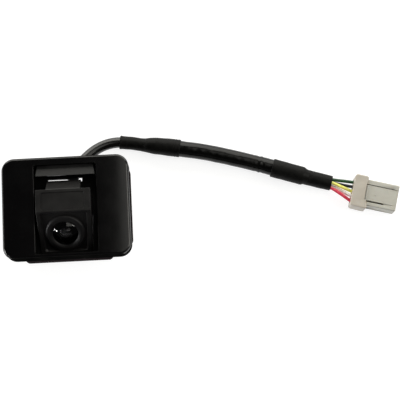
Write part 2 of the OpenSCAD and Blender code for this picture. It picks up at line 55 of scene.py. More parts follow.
# Frames of the tilted optics, of the connector and of the cable's outlet
OPTIC = Matrix.Translation((-0.7, -12.2, 23.07)) @ Matrix.Rotation(math.radians(35), 4, "X")
PLUG = Matrix.Translation((130.8, 3.9, 0)) @ Matrix.Rotation(math.radians(-15), 4, "Z")
OUTLET = Matrix.Translation((1.5, 7, 6.5)) @ Matrix.Rotation(math.radians(-90), 4, "X")
HERE = Matrix.Identity(4)

# Bezel
COVER_W = 57
COVER_H = 45.5
COVER_R = 5.5
FACE_Z = 25
REAR_Z = 15.5
CROWN = 0.6
WALL = 1.8
RECESS_W = 28
RECESS_Y = (-20.95, 19.2)
RECESS_R = 1.2

# Camera pod, in the optical frame unless it says otherwise
POD_X = -0.7
CHIN = -9.9
RIDGE = 11.2
FRONT_BACK = -11.3
SPLIT_TOP = 12
CHIN_HALF = 11.5
POD_HALF = 12.2
POD_WALL = 1.6
FACE_SINK = 1
# Y and Z in the part's frame
ROOF_BACK = Vector((7.2, 29))
NECK_END = Vector((12, 21.5))
NECK_HALF = 7.6

# Lead
CABLE_R = 2.5
WIRE_R = 0.75
SLEEVE_R = 3.75
CABLE_ROUTE = [
    (1.5, 0.5, 6.5), (1.5, 7, 6.5), (1.5, 13, 6.5), (2.2, 16.5, 6.2), (3.8, 20.4, 5.6),
    (6.4, 24.2, 4.8), (9.8, 27.6, 4.1), (13.8, 30.4, 3.5), (18.4, 32.2, 3.2),
    (23.6, 32.8, 3.1), (30, 32, 3.1), (36, 30.8, 3.2), (42, 29.8, 3.8), (48, 28.9, 4),
    (54, 27.8, 3.9), (62, 26.3, 3.8), (70, 24.3, 3.8), (78, 22.1, 3.8), (86, 19.7, 3.9),
    (94, 17, 4.2), (102, 14.3, 4.3),
]
SHRINK_1_ROUTE = [
    (24, 32.8, 3.25), (30, 32, 3.15), (35.5, 30.9, 3.2), (39, 30.3, 4.1), (45.5, 29.3, 4.2),
    (52, 28.2, 4.2),
]
SLEEVE_ROUTE = [
    (46, 29.3, 3.8), (54, 27.8, 3.8), (62, 26.3, 3.8), (70, 24.3, 3.8), (78, 22.1, 3.8),
    (86, 19.7, 3.8), (92, 17.8, 3.9), (98, 15.8, 4.2),
]
SHRINK_2_ROUTE = [
    (94.3, 16.9, 4.3), (101.5, 14.5, 4.3), (108.7, 12.1, 4.3), (110.3, 11.6, 3.8),
    (116, 9.8, 3.8), (121.4, 8.2, 3.8),
]
WIRE_ROUTES = {
    "green": [
        (104.1, 15.6, 4.1), (110.6, 13.4, 3.8), (116.6, 11.6, 3.7), (122.1, 9.9, 3.7),
        (127, 9, 3.7), (131.9, 8.1, 3.6), (134.5, 7.4, 3.6),
    ],
    "black": [
        (103.7, 14.4, 3.1), (110.2, 12.2, 2.8), (116.2, 10.4, 2.7), (121.7, 8.7, 2.7),
        (126.8, 7.2, 3.1), (131.4, 6, 3.6), (134, 5.3, 3.6),
    ],
    "yellow": [
        (103.5, 13.9, 5.2), (110, 11.7, 4.9), (116, 9.9, 4.8), (121.5, 8.2, 4.8),
        (126.3, 6, 4.3), (130.8, 3.9, 3.6), (133.4, 3.2, 3.6),
    ],
    "white": [
        (103.1, 12.7, 3.5), (109.6, 10.5, 3.2), (115.6, 8.7, 3.1), (121.1, 7, 3.1),
        (125.9, 4.5, 3.3), (130.2, 1.8, 3.6), (132.8, 1.1, 3.6),
    ],
    "red": [
        (102.9, 11.7, 4.8), (109.3, 9.5, 4.5), (115.3, 7.7, 4.4), (120.8, 6, 4.4),
        (125.4, 2.9, 4.1), (129.7, -0.4, 3.6), (132.3, -1.1, 3.6),
    ],
}


# --- shapes ------------------------------------------------------------------------------


def add_piece(name, points, faces, place=HERE):
    """A smooth-shaded mesh object from points in millimetres, put in place."""
    mesh = bpy.data.meshes.new(name)
    mesh.from_pydata([(place @ Vector(p)) * MM for p in points], [], faces)
    shape = bmesh.new()
    shape.from_mesh(mesh)
    bmesh.ops.recalc_face_normals(shape, faces=shape.faces)
    for face in shape.faces:
        face.smooth = True
    shape.to_mesh(mesh)
    shape.free()
    piece = bpy.data.objects.new(name, mesh)
    bpy.context.scene.collection.objects.link(piece)
    return piece


def loft(name, loops, place=HERE, closed=False):
    """A skin over loops of equally many points; a closed one runs back into its first loop."""
    size = len(loops[0])
    points = [p for loop in loops for p in loop]
    faces = []
    for i in range(len(loops) - (0 if closed else 1)):
        low = i * size
        high = (i + 1) % len(loops) * size
        for k in range(size):
            after = (k + 1) % size
            faces.append((low + k, low + after, high + after, high + k))
    if not closed:
        faces.append(tuple(range(size)))
        faces.append(tuple(range(len(points) - size, len(points))))
    return add_piece(name, points, faces, place)


def prism(name, outline, low, high, place=HERE, grow=0):
    """An outline drawn out from z = low to z = high, and scaled up by grow at its high end."""
    top = [(x * (1 + grow), y * (1 + grow), high) for x, y in outline]
    return loft(name, [[(x, y, low) for x, y in outline], top], place)


def box(name, low, high, place=HERE):
    """A plain box, for cutting with."""
    outline = [(low[0], low[1]), (high[0], low[1]), (high[0], high[1]), (low[0], high[1])]
    return prism(name, outline, low[2], high[2], place)


def lathe(name, outline, place=HERE, sides=96):
    """A body of revolution about z, from a closed outline of (radius, height) pairs."""
    points = []
    rows = []
    for radius, height in outline:
        if radius < 1e-6:
            rows.append([len(points)] * sides)
            points.append((0, 0, height))
            continue
        rows.append(list(range(len(points), len(points) + sides)))
        for k in range(sides):
            turn = 2 * math.pi * k / sides
            points.append((radius * math.cos(turn), radius * math.sin(turn), height))
    faces = []
    for low, high in zip(rows, rows[1:] + rows[:1]):
        for k in range(sides):
            after = (k + 1) % sides
            face = list(dict.fromkeys((low[k], low[after], high[after], high[k])))
            if len(face) > 2:
                faces.append(face)
    return add_piece(name, points, faces, place)


def rounded(corners, radii, steps=6):
    """The outline through the corners, with an arc of the given radius at each of them."""
    points = []
    for i, corner in enumerate(corners):
        here = Vector(corner)
        radius = radii[i] if isinstance(radii, (list, tuple)) else radii
        if radius == 0:
            points.append(here)
            continue
        back = (Vector(corners[i - 1]) - here).normalized()
        ahead = (Vector(corners[(i + 1) % len(corners)]) - here).normalized()
        half = back.angle(ahead) / 2
        reach = radius / math.tan(half)
        middle = here + (back + ahead).normalized() * radius / math.sin(half)
        start = here + back * reach - middle
        end = here + ahead * reach - middle
        points += [middle + start.slerp(end, k / steps) for k in range(steps + 1)]
    return points


def arc(middle, radius, start, end, steps):
    """Points of an arc, its ends given in degrees."""
    angles = [math.radians(start + (end - start) * k / steps) for k in range(steps + 1)]
    return [
        (middle[0] + radius * math.cos(a), middle[1] + radius * math.sin(a)) for a in angles
    ]


def spline(points, per_span):
    """Points on the smooth curve that passes through the given points."""
    first = 2 * points[0] - points[1]
    last = 2 * points[-1] - points[-2]
    padded = [first, *points, last]
    out = []
    for a, b, c, d in zip(padded, padded[1:], padded[2:], padded[3:]):
        for k in range(per_span):
            t = k / per_span
            bend = 2 * b + (c - a) * t + (2 * a - 5 * b + 4 * c - d) * t * t
            out.append((bend + (3 * b - a - 3 * c + d) * t ** 3) / 2)
    out.append(points[-1])
    return out


def tube(name, route, radius_at, sides=40, per_span=8, lip=0.3):
    """A tube with rounded ends along a route, and its centreline in metres.

    radius_at gives the radius at a distance along the tube and an angle round it.
    """
    centres = spline([Vector(p) for p in route], per_span)
    stations = []
    distance = 0
    for i, centre in enumerate(centres):
        if i > 0:
            distance += (centre - centres[i - 1]).length
        along = centres[min(i + 1, len(centres) - 1)] - centres[max(i - 1, 0)]
        stations.append((centre, along.normalized(), distance, 0))
    ends = [(math.radians(a), lip) for a in (0, 30, 60)]
    first, second = stations[0], stations[-1]
    start = [(first[0] + first[1] * w * (1 - math.cos(a)), first[1], 0, w * (1 - math.sin(a)))
             for a, w in ends]
    finish = [(second[0] - second[1] * w * (1 - math.cos(a)), second[1], distance,
               w * (1 - math.sin(a))) for a, w in reversed(ends)]
    inner = [s for s in stations if lip < s[2] < distance - lip]
    loops = []
    for centre, along, travelled, inset in start + inner + finish:
        side = Vector((0, 0, 1)).cross(along).normalized()
        up = along.cross(side)
        loop = []
        for k in range(sides):
            turn = 2 * math.pi * k / sides
            radius = radius_at(travelled, turn) - inset
            loop.append(centre + radius * (math.cos(turn) * side + math.sin(turn) * up))
        loops.append(loop)
    return loft(name, loops), [c * MM for c in centres]


def settle(piece):
    """Makes a piece's modifiers part of its mesh."""
    graph = bpy.context.evaluated_depsgraph_get()
    mesh = bpy.data.meshes.new_from_object(piece.evaluated_get(graph))
    piece.modifiers.clear()
    piece.data = mesh


def carve(piece, tool, operation="DIFFERENCE"):
    """Cuts a tool out of a piece, or joins it on, and removes the tool."""
    cut = piece.modifiers.new("Carve", "BOOLEAN")
    cut.operation = operation
    cut.solver = "EXACT"
    cut.object = tool
    settle(piece)
    bpy.data.objects.remove(tool)


def even_shading(piece):
    """Keeps flat faces flat beside rounded edges."""
    shade = piece.modifiers.new("Shade", "WEIGHTED_NORMAL")
    shade.keep_sharp = True
    return piece


def soften(piece, width, angle=35, segments=3):
    """Rounds a piece's edges and evens the shading of its flat faces."""
    edges = piece.modifiers.new("Edges", "BEVEL")
    edges.width = width * MM
    edges.segments = segments
    edges.limit_method = "ANGLE"
    edges.angle_limit = math.radians(angle)
    edges.miter_outer = "MITER_ARC"
    return even_shading(piece)


def refined(node, width, angle=35, segments=3):
    """A copy of a CAD node's mesh with merged faces and rounded edges."""
    shape = bmesh.new()
    shape.from_mesh(frame["nodes"][node].data)
    bmesh.ops.remove_doubles(shape, verts=shape.verts, dist=0.002 * MM)
    bmesh.ops.dissolve_limit(
        shape, angle_limit=math.radians(0.5), verts=shape.verts, edges=shape.edges
    )
    points = [v.co / MM for v in shape.verts]
    shape.verts.index_update()
    faces = [[v.index for v in face.verts] for face in shape.faces]
    shape.free()
    return soften(add_piece(node + "_finished", points, faces), width, angle, segments)


# --- finishes ----------------------------------------------------------------------------


class Finish:
    """A material with one Principled shader, and the nodes that vary its surface."""

    def __init__(self, name, **values):
        self.material = bpy.data.materials.new(name)
        self.material.use_nodes = True
        self.tree = self.material.node_tree
        self.shader = self.tree.nodes["Principled BSDF"]
        self.position = self.node("ShaderNodeTexCoord").outputs["Object"]
        for socket, value in values.items():
            self.shader.inputs[socket.replace("_", " ")].default_value = value

    def node(self, kind, inputs=None, **settings):
        """Adds a node; inputs are values or links by socket name or number."""
        node = self.tree.nodes.new(kind)
        for key, value in settings.items():
            setattr(node, key, value)
        for key, value in (inputs or {}).items():
            if isinstance(value, bpy.types.NodeSocket):
                self.tree.links.new(value, node.inputs[key])
            else:
                node.inputs[key].default_value = value
        return node

    def set(self, socket, source):
        """Links a shader socket."""
        self.tree.links.new(source, self.shader.inputs[socket])

    def stretched(self, scale):
        """The object's coordinates, stretched along its axes."""
        return self.node(
            "ShaderNodeMapping", {"Vector": self.position, "Scale": scale}
        ).outputs["Vector"]

    def noise(self, size, detail=3, rough=0.5, source=None):
        """Noise whose patches are about size millimetres across."""
        return self.node("ShaderNodeTexNoise", {
            "Vector": source or self.position, "Scale": 1 / (size * MM), "Detail": detail,
            "Roughness": rough,
        }).outputs["Fac"]

    def cells(self, size, source=None, feature="F1"):
        """Distances in a pattern of cells about size millimetres across."""
        return self.node("ShaderNodeTexVoronoi", {
            "Vector": source or self.position, "Scale": 1 / (size * MM),
        }, feature=feature).outputs["Distance"]

    def remap(self, value, low, high, start=0.35, end=0.65):
        """A value between start and end, carried over to low and high."""
        return self.node("ShaderNodeMapRange", {
            "Value": value, "From Min": start, "From Max": end, "To Min": low, "To Max": high,
        }).outputs["Result"]

    def mix(self, factor, one, other):
        """A colour between two colours, which may be links."""
        return self.node("ShaderNodeMix", {0: factor, 6: one, 7: other},
                         data_type="RGBA").outputs[2]

    def math(self, operation, *values):
        """An operation on one or two numbers."""
        return self.node("ShaderNodeMath", dict(enumerate(values)),
                         operation=operation).outputs[0]

    def add(self, one, other, weight=1.0):
        """one + other * weight."""
        return self.math("MULTIPLY_ADD", other, weight, one)

    def bump(self, height, depth, under=None):
        """A bump of depth millimetres, on top of another one if it is given."""
        inputs = {"Height": height, "Distance": depth * MM, "Strength": 1.0}
        if under:
            inputs["Normal"] = under
        return self.node("ShaderNodeBump", inputs).outputs["Normal"]


def rgb(r, g, b):
    return (r, g, b, 1.0)


def moulded(name, dark, light, rough, grain, depth, cloud=6.0, **values):
    """Moulded plastic or rubber: an eroded grain, and soft clouds of colour and gloss."""
    f = Finish(name, **values)
    clouds = f.noise(cloud, 4, 0.6)
    fine = f.noise(grain, 2, 0.6)
    f.set("Base Color", f.mix(f.remap(clouds, 0, 1), dark, light))
    f.set("Roughness", f.remap(f.add(clouds, fine, 0.6), rough[0], rough[1], 0.5, 1.1))
    f.set("Normal", f.bump(fine, depth))
    return f.material


def bezel_gloss():
    """Polished black plastic with a trace of orange peel; its long edges and walls are satin."""
    f = Finish("bezel_gloss", IOR=1.47)
    clouds = f.noise(9, 4, 0.65)
    specks = f.remap(f.noise(0.5, 1, 0.4), 0, 1, 0.72, 0.78)
    place = f.node("ShaderNodeSeparateXYZ", {0: f.position}).outputs
    across = f.math("ABSOLUTE", place["X"])
    long_edge = COVER_H / 2
    recess_side = RECESS_W / 2
    bottom, top = RECESS_Y
    walls = f.remap(place["Z"], 1, 0, (FACE_Z - 2.2) * MM, (FACE_Z - 1.4) * MM)
    edges = f.remap(f.math("ABSOLUTE", place["Y"]), 0, 1,
                    (long_edge - 0.65) * MM, (long_edge - 0.35) * MM)
    below_top = f.remap(place["Y"], 1, 0, (top + 0.06) * MM, (top + 0.2) * MM)
    above_bottom = f.remap(place["Y"], 0, 1, (bottom - 0.21) * MM, (bottom - 0.13) * MM)
    between_sides = f.remap(across, 1, 0, recess_side * MM, (recess_side + 0.1) * MM)
    in_recess = f.math("MULTIPLY", between_sides, f.math("MULTIPLY", below_top, above_bottom))
    satin = f.math("MAXIMUM", walls, f.math("MAXIMUM", edges, in_recess))
    polished = f.mix(specks, rgb(0.0007, 0.0006, 0.0007), rgb(0.004, 0.004, 0.0045))
    dulled = f.mix(f.remap(clouds, 0, 1), rgb(0.003, 0.003, 0.003), rgb(0.007, 0.007, 0.0065))
    f.set("Base Color", f.mix(satin, polished, dulled))
    f.set("Roughness", f.add(f.remap(f.add(clouds, specks, 0.3), 0.17, 0.22), satin, 0.3))
    f.set("Specular IOR Level", f.remap(satin, 0.5, 0, 0, 1))
    f.set("Normal", f.bump(f.noise(1.6, 2, 0.4), 0.0012))
    return f.material


def matt_with_painted_shade():
    """Grained plastic, with painted shade: nearly black and less glossy on the plate at the
    bottom of the recess.
    """
    f = Finish("bracket_matt")
    clouds = f.noise(5, 4, 0.6)
    fine = f.noise(0.26, 2, 0.6)
    height = f.node("ShaderNodeSeparateXYZ", {0: f.position}).outputs["Z"]
    # Painted shade: below 17.8 mm the plate is coloured nearly black and loses gloss; above 20 mm
    # it has the plastic's own tone.
    raised = f.remap(height, 0, 1, 17.8 * MM, 20 * MM)
    tone = f.mix(f.remap(clouds, 0, 1), rgb(0.0040, 0.0039, 0.0038), rgb(0.0068, 0.0066, 0.0062))
    f.set("Base Color", f.mix(raised, rgb(0.0016, 0.0016, 0.0016), tone))
    f.set("Specular IOR Level", f.remap(raised, 0.08, 0.38, 0, 1))
    f.set("Roughness", f.remap(f.add(clouds, fine, 0.6), 0.42, 0.56, 0.5, 1.1))
    f.set("Normal", f.bump(fine, 0.016))
    return f.material


def foam():
    """Closed-cell foam rubber."""
    f = Finish("gasket_rubber", Roughness=0.85)
    f.shader.inputs["Specular IOR Level"].default_value = 0.2
    pores = f.cells(0.35)
    tint = f.remap(f.noise(3, 3), 0, 1)
    f.set("Base Color", f.mix(tint, rgb(0.022, 0.016, 0.018), rgb(0.034, 0.025, 0.028)))
    f.set("Normal", f.bump(pores, 0.12))
    return f.material


def steel():
    """Zinc-plated steel with faint stains and a fine grain."""
    f = Finish("screw_steel", Metallic=1.0)
    stains = f.noise(0.8, 4, 0.7)
    f.set("Base Color", f.mix(f.remap(stains, 0, 1), rgb(0.42, 0.42, 0.44), rgb(0.62, 0.62, 0.6)))
    f.set("Roughness", f.remap(stains, 0.24, 0.42))
    f.set("Normal", f.bump(f.noise(0.12, 2, 0.6), 0.004))
    return f.material


def barrel_finish():
    """Black anodised turning marks, with a painted reflection: light grey on the stop's face."""
    f = Finish("barrel_black", Roughness=0.5)
    middle = OPTIC @ Vector((0, 0, -6.9))
    reach = f.node("ShaderNodeVectorMath", {0: f.position, 1: tuple(middle * MM)},
                   operation="DISTANCE").outputs["Value"]
    # Painted reflection: within about 4 mm of the stop's middle the colour is light grey,
    # standing in for the iris's reflection.
    painted_iris_reflection = f.remap(reach, 1, 0, 3.6 * MM, 4.1 * MM)
    turned = f.node("ShaderNodeTexWave", {"Vector": f.position, "Scale": 900.0,
                                          "Distortion": 2.0}).outputs["Fac"]
    grey = f.mix(f.remap(turned, 0, 1), rgb(0.50, 0.50, 0.52), rgb(0.80, 0.80, 0.82))
    f.set("Base Color", f.mix(painted_iris_reflection, rgb(0.004, 0.004, 0.0045), grey))
    f.set("Normal", f.bump(turned, 0.004))
    return f.material


def glass(name, tint):
    """Coated optical glass with a trace of dust."""
    f = Finish(name, IOR=1.52, Roughness=0.0)
    f.shader.inputs["Transmission Weight"].default_value = 1.0
    clear = tuple(min(1, value * 1.15) for value in tint)
    f.set("Base Color", f.mix(f.remap(f.noise(2.5, 3), 0, 1), tint, clear))
    return f.material


def lens_glass():
    """Optical glass, clear round its axis and tinted nearly black towards its rim as painted
    shade.
    """
    f = Finish("lens_glass", IOR=1.52, Roughness=0.0, Specular_IOR_Level=0.2)
    f.shader.inputs["Transmission Weight"].default_value = 1.0
    axis = OPTIC.to_3x3() @ Vector((0, 0, 1))
    from_lens = f.node("ShaderNodeVectorMath",
                       {0: f.position, 1: tuple(OPTIC.translation * MM)},
                       operation="SUBTRACT").outputs["Vector"]
    across = f.node("ShaderNodeVectorMath", {0: from_lens, 1: tuple(axis)},
                    operation="CROSS_PRODUCT").outputs["Vector"]
    reach = f.node("ShaderNodeVectorMath", {0: across}, operation="LENGTH").outputs["Value"]
    dust = f.remap(f.noise(2.5, 3), 0, 1)
    middle = f.mix(dust, rgb(0.84, 0.84, 0.86), rgb(0.92, 0.92, 0.92))
    # Painted shade: beyond about 3 mm from the axis the glass is tinted nearly black, so the lens
    # looks dark and its inner reflections stay dim.
    f.set("Base Color", f.mix(f.remap(reach, 0, 1, 2.4 * MM, 3.3 * MM), middle,
                              rgb(0.05, 0.05, 0.053)))
    return f.material


def circuit_board():
    """Green solder resist in raised dark fields, with lighter lines between them."""
    f = Finish("board_green", Roughness=0.35)
    tracks = f.remap(f.cells(0.9, feature="DISTANCE_TO_EDGE"), 0, 1, 0.08, 0.12)
    f.set("Base Color", f.mix(tracks, rgb(0.02, 0.22, 0.09), rgb(0.008, 0.12, 0.045)))
    f.set("Normal", f.bump(tracks, 0.03))
    return f.material


def jacket(name, dark, light, rough, wrinkle, depth, **values):
    """A drawn or shrunk jacket: fine drag lines along the lead and soft wrinkles."""
    f = Finish(name, **values)
    drag = f.noise(0.5, 3, 0.55, f.stretched((0.16, 1, 1)))
    soft = f.noise(wrinkle, 3, 0.5)
    f.set("Base Color", f.mix(f.remap(soft, 0, 1), dark, light))
    f.set("Roughness", f.remap(f.add(soft, drag, 0.5), rough[0], rough[1], 0.5, 1.0))
    f.set("Normal", f.bump(drag, depth * 0.25, f.bump(soft, depth)))
    return f.material


def nylon(name, dark, light):
    """Ivory polyamide: faintly translucent, with flow marks and a fine mould grain."""
    f = Finish(name, IOR=1.5)
    f.shader.inputs["Subsurface Weight"].default_value = 0.25
    f.shader.inputs["Subsurface Radius"].default_value = (1.0, 0.8, 0.6)
    f.shader.inputs["Subsurface Scale"].default_value = 0.0008
    flow = f.noise(5, 4, 0.6, f.stretched((0.5, 1, 1)))
    fine = f.noise(0.18, 2, 0.6)
    f.set("Base Color", f.mix(f.remap(flow, 0, 1), dark, light))
    f.set("Roughness", f.remap(f.add(flow, fine, 0.4), 0.38, 0.52, 0.4, 1.0))
    f.set("Normal", f.bump(fine, 0.006, f.bump(flow, 0.02)))
    return f.material


def make_finishes():
    """Every material of the record, by its slot."""
    for packed in bpy.data.materials:
        packed.name = "packed_" + packed.name
    pod = moulded("pod_matt", rgb(0.0036, 0.0033, 0.0034), rgb(0.0060, 0.0056, 0.0054),
                  (0.38, 0.50), 0.22, 0.012, Specular_IOR_Level=0.28)
    bracket = matt_with_painted_shade()
    hook = moulded("hook_plastic", rgb(0.010, 0.010, 0.011), rgb(0.016, 0.016, 0.017),
                   (0.32, 0.44), 0.5, 0.006)
    made = [
        bezel_gloss(), pod, bracket, hook, foam(), steel(), circuit_board(),
        moulded("seal_silicone", rgb(0.24, 0.05, 0.03), rgb(0.34, 0.085, 0.05), (0.4, 0.55),
                0.6, 0.01),
        moulded("seal_nitrile", rgb(0.012, 0.012, 0.012), rgb(0.02, 0.02, 0.02), (0.4, 0.5),
                0.3, 0.006),
        moulded("ring_satin", rgb(0.0034, 0.0031, 0.0034), rgb(0.0056, 0.0052, 0.0054),
                (0.42, 0.54), 0.2, 0.010, Specular_IOR_Level=0.26),
        barrel_finish(),
        lens_glass(),
        moulded("holder_plastic", rgb(0.012, 0.012, 0.013), rgb(0.022, 0.022, 0.023),
                (0.45, 0.6), 0.3, 0.01),
        glass("filter_glass", rgb(0.35, 0.75, 0.7)),
        moulded("sensor_glass", rgb(0.02, 0.014, 0.05), rgb(0.05, 0.03, 0.09), (0.05, 0.12),
                0.4, 0.0005),
        moulded("capacitor_tan", rgb(0.42, 0.28, 0.16), rgb(0.58, 0.42, 0.26), (0.4, 0.55),
                0.15, 0.006),
        moulded("socket_cream", rgb(0.62, 0.56, 0.42), rgb(0.74, 0.68, 0.55), (0.4, 0.5),
                0.2, 0.006),
        moulded("chip_epoxy", rgb(0.012, 0.012, 0.013), rgb(0.022, 0.022, 0.023), (0.5, 0.65),
                0.1, 0.006),
        moulded("can_tin", rgb(0.55, 0.55, 0.56), rgb(0.72, 0.72, 0.72), (0.22, 0.36), 0.6,
                0.004, Metallic=1.0),
        moulded("grommet_rubber", rgb(0.010, 0.010, 0.010), rgb(0.017, 0.017, 0.018),
                (0.5, 0.65), 0.3, 0.01),
        jacket("cable_pvc", rgb(0.003, 0.003, 0.0029), rgb(0.005, 0.005, 0.0047), (0.16, 0.24),
               3.0, 0.03, Specular_IOR_Level=0.6),
        jacket("shrink_tube", rgb(0.0024, 0.0024, 0.0022), rgb(0.0042, 0.0041, 0.0036),
               (0.42, 0.52), 1.6, 0.05, Specular_IOR_Level=0.11),
        jacket("sleeve_pvc", rgb(0.0014, 0.0014, 0.0013), rgb(0.0026, 0.0026, 0.0023),
               (0.15, 0.21), 5.0, 0.08, Specular_IOR_Level=0.26),
        jacket("wire_green", rgb(0.003, 0.040, 0.008), rgb(0.008, 0.075, 0.016), (0.3, 0.4), 1.5,
               0.01),
        jacket("wire_black", rgb(0.003, 0.003, 0.010), rgb(0.006, 0.006, 0.016), (0.3, 0.4),
               1.5, 0.01),
        jacket("wire_yellow", rgb(0.80, 0.78, 0.14), rgb(0.92, 0.90, 0.22), (0.3, 0.4), 1.5,
               0.01),
        jacket("wire_white", rgb(0.97, 0.93, 0.90), rgb(1.0, 0.98, 0.96), (0.3, 0.4), 1.5,
               0.01),
        jacket("wire_red", rgb(0.64, 0.03, 0.07), rgb(0.78, 0.07, 0.12), (0.3, 0.4), 1.5,
               0.01),
        nylon("connector_ivory", rgb(0.43, 0.42, 0.37), rgb(0.49, 0.48, 0.43)),
        nylon("retainer_ivory", rgb(0.45, 0.41, 0.35), rgb(0.51, 0.47, 0.41)),
        moulded("terminal_brass", rgb(0.62, 0.46, 0.2), rgb(0.78, 0.62, 0.34), (0.25, 0.4),
                0.5, 0.004, Metallic=1.0),
    ]
    return {material.name: material for material in made}


finishes = make_finishes()


def dress(piece, node):
    """Makes a piece stand for a CAD node: its body, its slot and its material."""
    slot = SLOT_OF[node]
    piece.data.materials.clear()
    piece.data.materials.append(finishes[slot])
    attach(piece, BODY_OF[node])
    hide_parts(node)
    return piece


def keep(node, width=0.0):
    """Keeps a CAD node, with the material of its slot and lightly rounded edges."""
    piece = frame["nodes"][node]
    for slot in piece.material_slots:
        slot.material = finishes[SLOT_OF[node]]
    if width > 0:
        weld = piece.modifiers.new("Weld", "WELD")
        weld.merge_threshold = 0.002 * MM
        soften(piece, width, segments=2)


# --- camera, floor and lights ------------------------------------------------------------


def place_camera():
    target = Vector((59.897, 0.579, 20)) * MM
    turn = math.radians(-2.913)
    rise = math.radians(80)
    distance = 520 * MM
    back = Vector((math.sin(turn) * math.cos(rise), -math.cos(turn) * math.cos(rise),
                   math.sin(rise)))
    right = Vector((math.cos(turn), math.sin(turn), 0))
    up = back.cross(right)
    data = bpy.data.cameras.new("camera")
    data.lens = 104.1
    data.sensor_width = 36
    data.clip_start = 0.01
    camera = bpy.data.objects.new("camera", data)
    bpy.context.scene.collection.objects.link(camera)
    camera.matrix_world = Matrix.Translation(target + back * distance) @ Matrix(
        (right, up, back)).transposed().to_4x4()
    bpy.context.scene.camera = camera


def lay_floor():
    """A floor that glows nearly white, so that shadows on it stay pale."""
    half = 4000
    floor = add_piece("floor", [(-half, -half, 0), (half, -half, 0), (half, half, 0),
                                (-half, half, 0)], [(0, 1, 2, 3)])
    f = Finish("floor_white", Roughness=0.9)
    f.shader.inputs["Base Color"].default_value = rgb(0.3, 0.3, 0.3)
    f.shader.inputs["Specular IOR Level"].default_value = 0.0
    f.shader.inputs["Emission Color"].default_value = rgb(1, 1, 1)
    f.shader.inputs["Emission Strength"].default_value = 0.85
    floor.data.materials.append(f.material)


def softbox(name, at, aim, size, radiance, tint=(1, 1, 1)):
    """A soft area light of a given radiance; places are in metres."""
    data = bpy.data.lights.new(name, "AREA")
    data.shape = "RECTANGLE"
    data.size, data.size_y = size
    data.energy = radiance * math.pi * size[0] * size[1]
    data.color = tint
    light = bpy.data.objects.new(name, data)
    bpy.context.scene.collection.objects.link(light)
    away = Vector(at) - Vector(aim)
    turn = away.to_track_quat("Z", "Y").to_matrix().to_4x4()
    light.matrix_world = Matrix.Translation(at) @ turn


def light_scene():
    middle = (0.06, 0, 0.02)
    warm = (1, 0.985, 0.92)
    softbox("key", (0.10, 0.70, 0.41), (0.10, 0, 0.41), (1.6, 0.78), 3.2, warm)
    softbox("panel", (0.37, 0.125, 0.80), (0.37, 0.125, 0), (0.60, 0.65), 1.0, warm)
    softbox("side", (0.75, 0.05, 0.60), middle, (0.5, 0.5), 4.0, warm)
    softbox("left", (-0.60, 0, 0.13), (0, 0, 0.02), (0.5, 0.2), 2.0, warm)
    softbox("fill", (0.03, -0.75, 0.45), middle, (0.9, 0.3), 0.12)
    lens = (0, -0.012, 0.023)
    softbox("glint", (-0.394, -0.083, 0.149), lens, (0.14, 0.04), 50.0)
    softbox("spark_left", (-0.31, -0.19, 0.20), lens, (0.03, 0.03), 60.0)
    softbox("spark_right", (0.36, -0.06, 0.20), lens, (0.03, 0.03), 12.0)
    world = bpy.data.worlds.new("studio")
    world.use_nodes = True
    world.node_tree.nodes["Background"].inputs["Color"].default_value = rgb(0.035, 0.035, 0.035)
    bpy.context.scene.world = world
    bpy.context.scene.view_settings.view_transform = "Standard"


# --- lead --------------------------------------------------------------------------------


def steady(radius):
    """A radius that doesn't change along a tube."""
    return lambda distance, turn: radius


def stepped(stations, unevenness=0.0, ridges=None):
    """A radius that follows (distance, radius) stations, with hand-made unevenness."""
    def radius_at(distance, turn):
        value = stations[-1][1]
        for (a, low), (b, high) in zip(stations, stations[1:]):
            if distance <= b:
                t = min(max((distance - a) / (b - a), 0), 1)
                value = low + (high - low) * t * t * (3 - 2 * t)
                break
        place = Vector((distance * 0.35, math.cos(turn) * 1.5, math.sin(turn) * 1.5))
        value += unevenness * noise.noise(place)
        if ridges:
            middle, reach, pitch, height = ridges
            fade = max(0, 1 - abs(distance - middle) / reach)
            value += height * fade * math.cos(2 * math.pi * distance / pitch)
        return value
    return radius_at


def make_lead():
    """The camera cable with its sleeve and heat-shrink tubes, and the five wires."""
    cable, path = tube("camera_cable_jacket", CABLE_ROUTE, steady(CABLE_R))
    dress(cable, "camera_cable")
    shrink_1, _ = tube(
        "heat_shrink_camera_end_tube", SHRINK_1_ROUTE,
        stepped([(0, 3.2), (1.6, 3.05), (9.5, 3.05), (18, 3.95), (25, 4.1), (29, 4.15)],
                0.08, (26.6, 2.4, 1.2, 0.08)), per_span=20)
    dress(shrink_1, "heat_shrink_camera_end")
    sleeve, _ = tube(
        "cable_sleeve_tube", SLEEVE_ROUTE,
        stepped([(0, SLEEVE_R), (60, SLEEVE_R)], 0.08, (44, 3, 2.6, 0.16)), per_span=16)
    dress(sleeve, "cable_sleeve")
    shrink_2, _ = tube(
        "heat_shrink_connector_end_tube", SHRINK_2_ROUTE,
        stepped([(0, 4.3), (14.4, 4.25), (16.2, 3.6), (28, 3.5)], 0.08), per_span=20)
    dress(shrink_2, "heat_shrink_connector_end")
    return {colour: make_wire(colour, route) for colour, route in WIRE_ROUTES.items()}


def make_wire(colour, route):
    """One insulated wire, with its centreline."""
    wire, path = tube("wire_" + colour + "_insulation", route, steady(WIRE_R), sides=24, lip=0.1)
    return dress(wire, "wire_" + colour), path


# --- bezel -------------------------------------------------------------------------------


